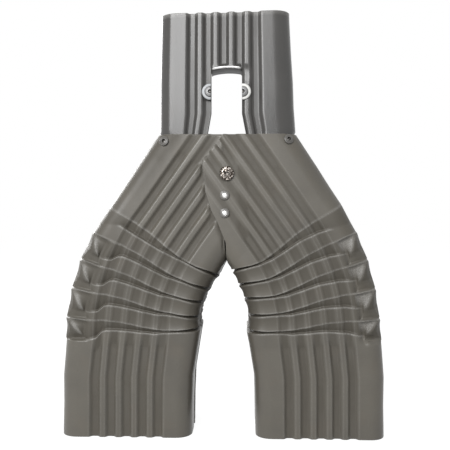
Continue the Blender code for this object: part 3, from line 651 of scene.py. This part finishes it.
PLAIN = (0.0, 0.0)
EVEN = [k / 8 for k in range(8)]
CRISP = (0.0, 0.04, 0.12, 0.3, 0.5, 0.7, 0.88, 0.96)
elbow_spots = outline(ELBOW_WIDTH, ELBOW_DEPTH, (MITRE, 27.5 * MM), (MITRE, 27.5 * MM))
count = len(elbow_spots)
for name, shape, upper in (("left_elbow", LEFT, left_upper), ("right_elbow", RIGHT, right_upper)):
    rows = upper(elbow_spots)
    first = len(rows)
    # Each mark: its steps, its swell, and the painted highlight and painted shade at its two ends.
    marks = [((0.0, 0.1, 0.5), 0.0, (0.7, 0.0), PLAIN), (EVEN[::2], 0.0, PLAIN, PLAIN)]
    if shape is RIGHT:
        marks.append((EVEN, 0.0, PLAIN, PLAIN))
    marks += [(EVEN, 0.0, PLAIN, PLAIN), (CRISP, 0.0, (0.0, 0.9), (0.0, 0.1))]
    for index in range(5):
        for kind in ("fold", "valley", "crest"):
            rows.append(fold_row(shape, elbow_spots, index, kind))
        marks += [(CRISP, 0.0, (0.9, 0.0), (0.5, 1.0)), ((0.0, 0.5), 0.0, (0.0, 1.0), (1.0, 0.5)),
                  (CRISP, 0.7 * MM, (1.0, 0.9), (0.5, 0.5))]
    marks[-1] = (CRISP, 0.0, (1.0, 0.0), PLAIN)
    crest = rows[-1]
    last = len(rows) - 1
    rows.append(leg_row(shape, elbow_spots, crest, 9.0 * MM, None, 1.1 * MM))
    for height in (38.0, 20.0, 3.0, 0.0):
        rows.append(leg_row(shape, elbow_spots, crest, 0.0, height * MM, 3.1 * MM))
    marks += [(EVEN, 0.0, PLAIN, PLAIN), (EVEN[::2], 0.0, PLAIN, PLAIN),
              (EVEN[::2], 0.0, PLAIN, PLAIN), ((0.0, 0.4, 0.8), 0.0, (0.0, 0.8), PLAIN)]
    fine, highlight, painted_shade, hooks, corner_highlight = fine_rows(rows, marks, elbow_spots, first, last)
    turned_round = -1.0 if shape is RIGHT else 1.0
    verts = [Vector((v.x * turned_round, v.y * turned_round, v.z)) for row in fine for v in row]
    faces = [(r * count + j, (r + 1) * count + j, (r + 1) * count + (j + 1) % count,
              r * count + (j + 1) % count) for r in range(len(fine) - 1) for j in range(count)]
    # Painted shade over the outer flat below the shoulder, stronger on the left elbow.
    outer_shade, seed = (0.8, 1.0) if shape is LEFT else (0.3, 5.0)
    sheet_object(name, verts, faces, painted_light_marks(elbow_spots, outer_shade, fine, highlight, painted_shade, hooks, corner_highlight),
                 painted(name + "_paint", (0.138, 0.128, 0.108), 0.34, seed, gloss=0.42))


# The inlet tube: the same corrugated pipe, straight. A slot is cut up both wide walls from the
# lower end, and the halves are bent apart over the water's way into the two elbows. The front's
# cut tongue is folded in, and its paint has cracked off in a bright sickle along the fold.
INLET_WIDTH = 82.2 * MM
INLET_DEPTH = 56.0 * MM
INLET_TOP = 271.2 * MM
WINDOW_CENTRE = 1.9 * MM
WINDOW_HALF = 9.9 * MM
WINDOW_TOP = 236.6 * MM
BACK_HALF = 15.0 * MM
BACK_TOP = 248.0 * MM
FLARE_TOP = 207.0 * MM
TONGUE_RADIUS = 1.6 * MM
LEFT_PUSH = ((183.0, 0.7), (193.5, 0.7), (196.0, 1.1), (227.0, 1.0), (246.0, 0.6), (268.0, 0.1))
RIGHT_PUSH = ((183.0, 4.6), (193.5, 4.6), (196.0, 5.6), (204.0, 5.1), (212.0, 4.5), (228.0, 4.0),
              (246.0, 2.8), (268.0, 1.6))


def in_window(spot):
    return spot.out_through < -0.99 and abs(spot.across - WINDOW_CENTRE) < WINDOW_HALF - 0.5 * MM


def tube_place(spot, z):
    """A point of the tube at a height, on the half that it belongs to."""
    shut = smooth((z - WINDOW_TOP - 0.3 * MM) / (2.2 * MM)) if in_window(spot) else 1.0
    across, through = spot.moved(-spot.dip * GROOVE_DEPTH * shut)
    side = 1.0 if across > WINDOW_CENTRE else -1.0
    opened = clamp((FLARE_TOP - z) / (FLARE_TOP - ELBOW_TOP))
    aside = abs(across - WINDOW_CENTRE) - WINDOW_HALF
    share = smooth(aside / (INLET_WIDTH / 2 - WINDOW_HALF))
    at_edge = (2.6 if side > 0.0 else 2.4) * MM * opened if aside > -MM else 0.0
    at_side = along(RIGHT_PUSH if side > 0.0 else LEFT_PUSH, z / MM) * MM
    if through < 0.0:
        reach = ((across - 14.4 * MM) / (3.4 * MM)) ** 2 + ((z - 232.0 * MM) / (7.5 * MM)) ** 2
        through += 0.8 * MM * smooth(1.0 - reach)
    z += (0.7 + 20.0 * across) * MM * smooth((z - 245.0 * MM) / (26.0 * MM))
    return Vector((across + side * (at_edge * (1.0 - share) + at_side * share), through, z))


def fold_height(across):
    """How far the tongue's fold rises or falls from the window's nominal top."""
    u = (across - WINDOW_CENTRE) / WINDOW_HALF
    return (1.2 * (1.0 - u * u) - 0.45 + 0.35 * u) * MM


def in_slot(j, facing, half):
    """Whether the strip of wall from point j to the next belongs to a window of this half width."""
    first, second = tube_spots[j], tube_spots[(j + 1) % count]
    middle = (first.across + second.across) / 2 - WINDOW_CENTRE
    return (first.out_through * facing > 0.99 and second.out_through * facing > 0.99
            and abs(middle) < half)


tube_spots = outline(INLET_WIDTH, INLET_DEPTH,
                     (WINDOW_CENTRE - WINDOW_HALF, WINDOW_CENTRE + WINDOW_HALF),
                     (WINDOW_CENTRE - BACK_HALF, WINDOW_CENTRE + BACK_HALF))
count = len(tube_spots)
heights = [INLET_TOP, INLET_TOP - 0.3 * MM, INLET_TOP - 3.0 * MM]
for start, end, steps in ((INLET_TOP - 3.0 * MM, BACK_TOP, 6), (BACK_TOP, WINDOW_TOP + 2.8 * MM, 4),
                          (WINDOW_TOP + 2.8 * MM, WINDOW_TOP, 4),
                          (WINDOW_TOP, FLARE_TOP, 18), (FLARE_TOP, 196.0 * MM, 6),
                          (196.0 * MM, ELBOW_TOP, 3), (ELBOW_TOP, 183.5 * MM, 3)):
    heights += [start + (end - start) * k / steps for k in range(1, steps + 1)]
verts = [tube_place(spot, z) for z in heights for spot in tube_spots]
faces = []
for r, z in enumerate(heights[:-1]):
    for j in range(count):
        if z < WINDOW_TOP + 1e-6 and in_slot(j, -1.0, WINDOW_HALF):
            continue
        if z < BACK_TOP + 1e-6 and in_slot(j, 1.0, BACK_HALF):
            continue
        k = (j + 1) % count
        faces.append((r * count + j, (r + 1) * count + j, (r + 1) * count + k, r * count + k))

chain = [j for j in range(count) if in_slot(j, -1.0, WINDOW_HALF)]
chain.append(chain[-1] + 1)
top_row = min(range(len(heights)), key=lambda r: abs(heights[r] - WINDOW_TOP)) * count
above_row = top_row - count
for j in chain:
    rise = fold_height(tube_spots[j].across)
    verts[top_row + j].z += rise
    verts[above_row + j].z += rise * 0.4
previous = [top_row + j for j in chain]
bare = [0.0] * len(verts)
turns = [8, 16, 24, 32, 40, 48, 56, 66, 78, 90]
for step, turn in enumerate(turns + [None, None]):
    row = []
    for j in chain:
        spot = tube_spots[j]
        arch = 1.0 - ((spot.across - WINDOW_CENTRE) / WINDOW_HALF) ** 2
        angle = math.radians(turn or 90)
        start = verts[top_row + j].y
        inwards = TONGUE_RADIUS * (1.0 - math.cos(angle))
        if turn is None:
            inwards = (7.5 if step == len(turns) else 13.8) * MM
        lip = -0.35 * MM * arch * math.sin(min(angle, 0.7) / 0.7 * math.pi)
        z = WINDOW_TOP + fold_height(spot.across) - TONGUE_RADIUS * math.sin(angle)
        row.append(len(verts))
        verts.append(Vector((verts[top_row + j].x, start + inwards + lip, z)))
        bare.append(max(0.0, arch) ** 0.5 if turn is not None and turn < 50 else 0.0)
    for a, b, c, d in zip(previous, row, row[1:], previous[1:]):
        faces.append((a, b, c, d))
    previous = row

used = sorted({corner for face in faces for corner in face})
renumber = {old: new for new, old in enumerate(used)}
# Painted highlight along the top rim and the grooves' upper edges; painted shade in the grooves and
# over the folded tongue inside the tube.
tube_highlight = [0.9 if r in (0, 1) else 0.15 * spot.ridge for r in range(len(heights))
             for spot in tube_spots] + [0.0] * (len(verts) - len(heights) * count)
tube_shade = [0.35 * spot.dip for r in range(len(heights)) for spot in tube_spots]
tube_shade += [1.0] * (len(verts) - len(tube_shade))
sheet_object("inlet_tube", [verts[k] for k in used],
             [tuple(renumber[corner] for corner in face) for face in faces],
             {"painted_highlight": [tube_highlight[k] for k in used], "painted_shade": [tube_shade[k] for k in used],
              "bare": [bare[k] for k in used]},
             painted("inlet_tube_paint", (0.062, 0.060, 0.057), 0.22, 12.0))


# Blind rivets of the shoulders: aluminium, painted over with the sheet, so that only the hole in
# the flange shows, with the snapped steel mandrel deep inside. One goes through each rounded
# corner of the elbows' top edge into the tube.
def revolved(name, profile, place, axis, finish, hollow, flush=None):
    """Revolve (radius, height, painted highlight, painted shade) points about an axis that stands
    on its seat. A painted highlight above 1 also bares the metal.
    """
    sides = 40
    bm = bmesh.new()
    painted_highlight = bm.verts.layers.float.new("painted_highlight")
    painted_shade = bm.verts.layers.float.new("painted_shade")
    bare = bm.verts.layers.float.new("bare")
    turn = axis.to_track_quat("Z", "Y").to_matrix()
    rings = []
    for radius, height, highlight, shade_amount in profile:
        ring = []
        for k in range(sides if radius > 0.0 else 1):
            angle = math.tau * k / sides
            local = Vector((radius * math.cos(angle), radius * math.sin(angle), height))
            vert = bm.verts.new(turn @ local + place + Vector((CENTRE_SHIFT, 0.0, 0.0)))
            vert[painted_highlight] = min(highlight, 1.0)
            vert[bare] = max(0.0, highlight - 1.0)
            vert[painted_shade] = shade_amount
            ring.append(vert)
        rings.append(ring)
    pairs = list(zip(rings, rings[1:]))
    if hollow:
        pairs.append((rings[-1], rings[0]))
    for lower, upper in pairs:
        for k in range(sides):
            corners = [lower[k % len(lower)], lower[(k + 1) % sides % len(lower)],
                       upper[(k + 1) % sides % len(upper)], upper[k % len(upper)]]
            bm.faces.new(list(dict.fromkeys(corners)))
    if flush is not None:
        edge, side = flush
        bmesh.ops.bisect_plane(bm, geom=bm.verts[:] + bm.edges[:] + bm.faces[:], dist=1e-7,
                               plane_co=(edge + CENTRE_SHIFT, 0.0, 0.0),
                               plane_no=(-side, 0.0, 0.0), clear_outer=True)
        bmesh.ops.holes_fill(bm, edges=[e for e in bm.edges if e.is_boundary])
    bmesh.ops.recalc_face_normals(bm, faces=bm.faces)
    for face in bm.faces:
        face.smooth = True
    for e in bm.edges:
        e.smooth = e.calc_face_angle(0.0) < math.radians(38.0)
    mesh = bpy.data.meshes.new(name)
    bm.to_mesh(mesh)
    bm.free()
    mesh.materials.append(finish)
    made = bpy.data.objects.new("shown_" + name, mesh)
    bpy.context.collection.objects.link(made)
    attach(made, "root")
    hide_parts(name)
    return made


def metal(name, colour, dark, roughness, seed, flake, shine=1.0, bright_share=0.8):
    """Bare or plated metal: crystals of two tones, with painted shade where its points are marked."""
    made, shader, place = new_material(name)
    four = {"noise_dimensions": "4D"}
    cloud = place.node("ShaderNodeTexNoise", four, Vector=place, W=seed, Scale=500.0, Detail=4.0)
    cells = place.node("ShaderNodeTexVoronoi", {"voronoi_dimensions": "4D"}, "Color",
                       Vector=place, W=seed, Scale=1500.0)
    spangle = place.node("ShaderNodeSeparateColor", i0=cells)
    grain = place.node("ShaderNodeTexNoise", four, Vector=place, W=seed + 3.0, Scale=3500.0)
    painted_shade = place.node("ShaderNodeAttribute", {"attribute_name": "painted_shade"}, 2)
    shade_mix = (painted_shade * (0.75 + (cloud - 0.5) * 1.2)).clamped()
    share = ((spangle - 0.5) * flake * 3.0 + (cloud - 0.5) * flake + bright_share).clamped()
    base = share.mix([*dark, 1.0], [*colour, 1.0])
    shade_mix.mix(base, (0.035, 0.032, 0.028, 1.0)).feed(shader, "Base Color")
    (shine - shade_mix * shine * 0.8).feed(shader, "Metallic")
    (roughness + (grain - 0.5) * 0.2 + shade_mix * 0.3).feed(shader, "Roughness")
    relief = spangle * flake + grain * 0.4
    place.node("ShaderNodeBump", Strength=0.25 + flake * 0.5, Distance=0.0002,
               Height=relief).feed(shader, "Normal")
    return made


def rivet_body(grip, bore, rim_shade, mandrel_highlight=0.0):
    """Profile of a set blind rivet, from its swollen tail to the rounded flange, as (radius, height,
    painted highlight, painted shade) points: a painted highlight on the flange's rim and round the
    mandrel, and painted shade in the hole and under the flange's edge. A highlight above 1 bares
    the metal, round the mandrel where the tool's nose pressed."""
    tail = -grip - 0.3
    points = [(bore, tail - 3.0, 0, 1), (2.0, tail - 3.0, 0, 0), (2.4, tail - 2.2, 0, 0),
              (2.4, tail - 1.0, 0, 0), (2.1, tail - 0.3, 0, 0), (1.6, tail, 0, 0),
              (1.6, 0.3, 0, 1), (3.0, 0.3, 0, 1), (3.12, 0.36, 0, 0.8), (3.15, 0.5, 0, rim_shade),
              (3.12, 0.7, 0.1, rim_shade * 0.6), (3.0, 0.88, 0.5, 0), (2.75, 1.02, 0.4, 0),
              (2.4, 1.14, 0.1, 0), (2.1, 1.24, 0.8 * mandrel_highlight, 0),
              (max(1.7, bore + 0.3), 1.36, 0.2 + 1.5 * mandrel_highlight, 0),
              (bore + 0.22, 1.4, 0.5 + 1.3 * mandrel_highlight, 0),
              (bore + 0.08, 1.36, 0.3 + 1.3 * mandrel_highlight, 0.3), (bore, 1.22, 0, 0.8), (bore, 0.2, 0, 1)]
    return [(radius * MM, height * MM, highlight, shade_amount) for radius, height, highlight, shade_amount in points]


def rivet_stem(grip, radius, recess):
    """Profile of the snapped mandrel: its head behind the tail, the rough break, and painted shade
    down its shank.
    """
    head = -grip - 0.3 - 3.0 - 0.3
    top = 1.4 - recess
    points = [(0.0, head - 2.2, 0, 0), (1.1, head - 1.7, 0, 0), (1.5, head - 0.8, 0, 0),
              (1.5, head, 0, 0), (0.7, head, 0, 0), (0.7, 0.2, 0, 0.5),
              (radius, 0.3, 0, 0.7), (radius, top - 0.3, 0, 0.2), (radius * 0.85, top - 0.1, 0, 0),
              (radius * 0.5, top + 0.02, 0, 0), (0.0, top + 0.05, 0, 0)]
    return [(r * MM, height * MM, highlight, shade_amount) for r, height, highlight, shade_amount in points]


def shoulder_seat(shape, x, z, facing):
    """Where an upright line meets the elbow's rounded corner, and which way that faces."""
    low, high = 0.0, math.pi / 2
    for _ in range(40):
        angle = (low + high) / 2
        across = pushed(shape, -(HALF - CORNER_RADIUS) - CORNER_RADIUS * math.sin(angle), 0.0, z)
        if -upper_place(across, 0.0, run_to_height(across, z)).x > abs(x):
            high = angle
        else:
            low = angle
    side = 1.0 if x > 0.0 else -1.0
    normal = Vector((side * math.sin(angle) * math.cos(SLOPE), facing * math.cos(angle),
                     math.sin(angle) * math.sin(SLOPE)))
    sink = CORNER_RADIUS * (1.0 - math.cos(angle))
    return Vector((x, facing * (ELBOW_DEPTH / 2 - sink), z)), normal


rivet_paint = painted("rivet_paint", (0.092, 0.087, 0.080), 0.34, 20.0)
old_steel = metal("old_steel", (0.20, 0.19, 0.18), (0.05, 0.05, 0.05), 0.5, 2.0, 0.2)
shoulder_grip = 5.5
for label, shape, x, z in (("left", LEFT, -37.8 * MM, 189.0 * MM),
                           ("right", RIGHT, 41.3 * MM, 189.9 * MM)):
    for prefix, facing in (("", -1.0), ("back_", 1.0)):
        seat, normal = shoulder_seat(shape, x, z, facing)
        name = prefix + "shoulder_rivet_" + label
        revolved(name, rivet_body(shoulder_grip, 1.25, 0.9), seat, normal, rivet_paint, True)
        stem = rivet_stem(shoulder_grip, 0.85, 1.3)
        revolved(name + "_stem", stem, seat, normal, old_steel, False)


# Blind rivets of the lap, set after painting their flanges grey: the bright aluminium mandrel
# breaks off flush with the flange and shows as a white dot. Two hold the lap's pad in front,
# below the screw, and three hold it behind.
bright = metal("bright_aluminium", (0.95, 0.95, 0.94), (0.75, 0.75, 0.74), 0.22, 6.0, 0.15)
flange_paint = painted("flange_paint", (0.15, 0.14, 0.13), 0.22, 24.0)
lap_face = ELBOW_DEPTH / 2 + 0.3 * MM
lap_grip = 2.4
lap_bore = 1.54
lap_stem = 1.46
for prefix, facing, spots in (("", -1.0, (("upper", 154.6), ("lower", 143.3))),
                              ("back_", 1.0, (("upper", 154.6), ("lower", 143.3),
                                              ("top", 168.4)))):
    for label, z in spots:
        seat = Vector((0.8 * MM, facing * lap_face, z * MM))
        name = prefix + "lap_rivet_" + label
        axis = Vector((0.0, facing, 0.0))
        revolved(name, rivet_body(lap_grip, lap_bore, 0.9, 0.72), seat, axis, flange_paint, True)
        stem = rivet_stem(lap_grip, lap_stem, -0.12)
        revolved(name + "_stem", stem, seat, axis, bright, False)


# The centre screw: a zinc plated pan head with a cross recess, driven through both sheets above
# the lap rivets. Its head was formed cold, and the plating stands in bright and dull grains.
SCREW_SEAT = Vector((2.2 * MM, -lap_face, 168.4 * MM))
SIDES = 96
head_radius = 4.6
recess_turn = math.radians(28.0)
bm = bmesh.new()
painted_shade = bm.verts.layers.float.new("painted_shade")
profile = [(0.9, -12.5), (2.1, -9.5), (2.1, 0.3), (4.35, 0.3), (head_radius, 0.5),
           (head_radius, 1.1)]
profile += [(head_radius * math.cos(a * 0.1), 1.1 + 1.55 * math.sin(a * 0.1))
            for a in range(1, 9)]
edge_radius, edge_height = profile[-1]
profile += [(edge_radius * (1.0 - k / 22), edge_height + 0.6 * (1.0 - (1.0 - k / 22) ** 2))
            for k in range(1, 23)]
rings = []
for radius, height in profile:
    ring = []
    for k in range(SIDES if radius > 1e-6 else 1):
        angle = math.tau * k / SIDES
        u, v = radius * math.cos(angle + recess_turn), radius * math.sin(angle + recess_turn)
        arm = min(max(abs(u) - 2.4, abs(v) - 0.55), max(abs(v) - 2.4, abs(u) - 0.55))
        sunk = smooth((0.1 - arm) / 0.25) if height > 1.2 else 0.0
        cut = sunk * (1.75 - 0.28 * radius)
        vert = bm.verts.new((SCREW_SEAT.x + CENTRE_SHIFT + radius * math.cos(angle) * MM,
                             SCREW_SEAT.y - (height - cut) * MM,
                             SCREW_SEAT.z + radius * math.sin(angle) * MM))
        # Painted shade in the cross recess and under the head.
        vert[painted_shade] = max(sunk * 0.9, 0.8 if height < 0.9 else 0.0)
        ring.append(vert)
    rings.append(ring)
bm.faces.new(rings[0])
for lower, upper in zip(rings, rings[1:]):
    for k in range(SIDES):
        corners = [lower[k % len(lower)], lower[(k + 1) % SIDES % len(lower)],
                   upper[(k + 1) % SIDES % len(upper)], upper[k % len(upper)]]
        bm.faces.new(list(dict.fromkeys(corners)))
bmesh.ops.recalc_face_normals(bm, faces=bm.faces)
mesh = bpy.data.meshes.new("centre_screw")
bm.to_mesh(mesh)
bm.free()
mesh.materials.append(metal("plated_zinc", (0.72, 0.66, 0.60), (0.05, 0.04, 0.033), 0.2, 31.0, 1.0,
                            bright_share=-0.32))
mesh.shade_smooth()
screw = bpy.data.objects.new("shown_centre_screw", mesh)
bpy.context.collection.objects.link(screw)
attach(screw, "root")
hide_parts("centre_screw")


# Window rivets and washers: a bright flat washer under each rivet's flange at the window's two
# edges. Washer, flange and mandrel were all cut off flush when the window was cut out.
dull = metal("dull_aluminium", (0.30, 0.30, 0.30), (0.16, 0.16, 0.16), 0.45, 15.0, 0.3, 0.4)
window_grip = 3.3
# Painted light: the two washers are one zinc, in a darker tone on the left and a lighter one on the
# right.
washer_painted_light_tones = {"left": (0.36, 0.37, 0.38), "right": (0.62, 0.62, 0.60)}
for side, label in ((-1.0, "left"), (1.0, "right")):
    edge = WINDOW_CENTRE + side * WINDOW_HALF
    flush = (edge + side * 0.15 * MM, side)
    seat = Vector((edge + side * 0.6 * MM, -INLET_DEPTH / 2, 220.7 * MM))
    front = Vector((0.0, -1.0, 0.0))
    # The last column is painted shade: dark under the washer's outer edge and in a ring round its
    # bore, under the rivet's flange.
    washer = [(2.0, 0.3, 0, 1), (5.1, 0.3, 0, 0.8), (5.2, 0.4, 0, 0.3), (5.2, 0.8, 0, 0),
              (5.1, 0.98, 0, 0), (4.9, 1.08, 0, 0), (4.0, 1.1, 0, 0), (3.55, 1.1, 0, 0.2),
              (3.35, 1.1, 0, 1), (2.0, 1.1, 0, 1)]
    washer = [(radius * MM, height * MM, highlight, shade_amount) for radius, height, highlight, shade_amount in washer]
    painted_light_tone = washer_painted_light_tones[label]
    zinc = metal("zinc_washer_painted_light_" + label, painted_light_tone, [0.8 * part for part in painted_light_tone], 0.5, 9.0, 0.2, 0.35)
    revolved("window_washer_" + label, washer, seat, front, zinc, True, flush)
    over = seat + front * 1.1 * MM
    name = "window_rivet_" + label
    revolved(name, rivet_body(window_grip, 1.15, 1.0), over, front, dull, True, flush)
    stem = rivet_stem(window_grip, 0.8, 0.9)
    revolved(name + "_stem", stem, over, front, old_steel, False, flush)


# Camera: level, a little to the right of the middle, where the photo was taken from.
camera_turn = math.radians(2.0)
camera_reach = 0.4115
lens = bpy.data.cameras.new("camera")
lens.sensor_width = 36.0
lens.lens = 48.0
lens.clip_start = 0.01
camera = bpy.data.objects.new("camera", lens)
bpy.context.collection.objects.link(camera)
camera.location = (math.sin(camera_turn) * camera_reach + CENTRE_SHIFT,
                   -math.cos(camera_turn) * camera_reach, 0.1356)
camera.rotation_euler = (math.pi / 2, 0.0, camera_turn)
bpy.context.scene.camera = camera


# Light: a broad soft box in front, above and to the left, which the paint reflects from just above
# the elbows' bend upwards. Another stands behind and well aside, so that the back is lit and no
# glare runs along the inner walls.
def soft_box(name, width, height, energy, place, target):
    light = bpy.data.lights.new(name, "AREA")
    light.shape = "RECTANGLE"
    light.size = width
    light.size_y = height
    light.energy = energy
    lamp = bpy.data.objects.new(name, light)
    bpy.context.collection.objects.link(lamp)
    lamp.location = place
    aim = Vector(target) - Vector(lamp.location)
    lamp.rotation_euler = aim.to_track_quat("-Z", "Y").to_euler()


soft_box("softbox", 0.80, 0.59, 12.4, (-0.33, -1.01, 0.60), (0.0, -0.03, 0.2))
soft_box("rear_box", 0.9, 0.6, 13.0, (-0.85, 1.0, 0.62), (0.0, 0.03, 0.15))


# Surround: a white room for the camera and for what reflects it, softer as a light, and a white
# floor that keeps a faint shadow under the two outlets.
def seen_directly(tree):
    """1 for the rays that show the surround itself, and 0 for those that light by it."""
    paths = tree.nodes.new("ShaderNodeLightPath")
    camera_ray, glossy_ray, passing_ray = [
        Sock(tree, paths.outputs[kind + " Ray"])
        for kind in ("Is Camera", "Is Glossy", "Is Transmission")]
    return (camera_ray + glossy_ray + passing_ray).clamped()


world = bpy.data.worlds.new("surround")
bpy.context.scene.world = world
world.use_nodes = True
background = world.node_tree.nodes["Background"]
background.inputs["Color"].default_value = (1.0, 1.0, 1.0, 1.0)
(seen_directly(world.node_tree) * 0.74 + 0.26).feed(background, "Strength")

floor_finish = bpy.data.materials.new("white_floor")
floor_finish.use_nodes = True
tree = floor_finish.node_tree
shown = seen_directly(tree)
white = shown.node("ShaderNodeEmission", i0=(1.0, 1.0, 1.0, 1.0), i1=1.26)
grey = shown.mix((0.3, 0.3, 0.3, 1.0), (0.85, 0.85, 0.85, 1.0))
matt = shown.node("ShaderNodeBsdfDiffuse", i0=grey)
blend = shown.node("ShaderNodeMixShader", i0=shown * 0.75, i1=matt, i2=white)
tree.links.new(blend.socket, tree.nodes["Material Output"].inputs["Surface"])
mesh = bpy.data.meshes.new("floor")
reach = 4.0
below = -0.0003
mesh.from_pydata([(-reach, -reach, below), (reach, -reach, below), (reach, reach, below),
                  (-reach, reach, below)], [], [(0, 1, 2, 3)])
mesh.materials.append(floor_finish)
floor = bpy.data.objects.new("floor", mesh)
bpy.context.collection.objects.link(floor)

bpy.context.scene.view_settings.view_transform = "Standard"
